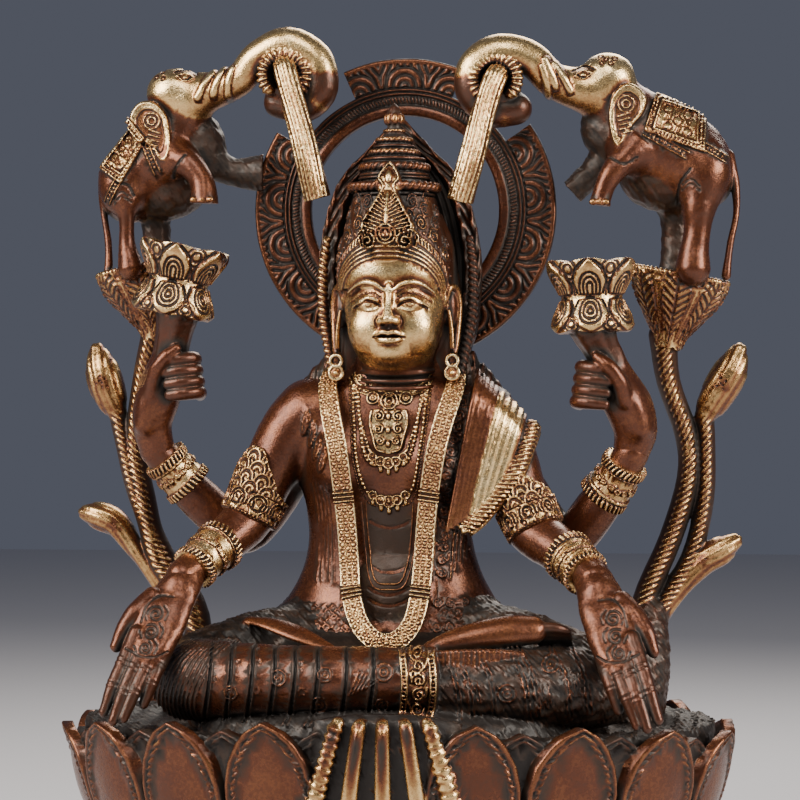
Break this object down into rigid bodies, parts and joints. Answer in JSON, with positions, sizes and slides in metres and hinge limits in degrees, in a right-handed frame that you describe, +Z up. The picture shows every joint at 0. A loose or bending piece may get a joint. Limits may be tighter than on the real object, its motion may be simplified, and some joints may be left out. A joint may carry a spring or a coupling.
{
  "type": "statue",
  "caption": "Cast brass goddess seated on a lotus throne, with a ring halo and sprays of lotus stems that carry elephants pouring water.",
  "frame": {"origin": "centre of the throne's flat underside", "axes": "+Z up, the goddess looks along -Y, +X is her left and the viewer's right"},
  "size_m": [0.3775, 0.2478, 0.514],
  "materials": {
    "throne": "cast brass with a glossy red-brown patina, dark in the recesses",
    "figure": "cast brass with a glossy red-brown patina, polished to gold on the face and ornaments",
    "halo": "cast brass with a glossy red-brown patina, polished on its raised edges",
    "sprays": "cast brass polished to gold on the raised parts, brown patina in the recesses"
  },
  "bodies": {
    "root": {"lotus_throne": "throne", "lakshmi_figure": "figure", "halo": "halo", "elephant_spray_left": "sprays", "elephant_spray_right": "sprays"}
  },
  "joints": []
}
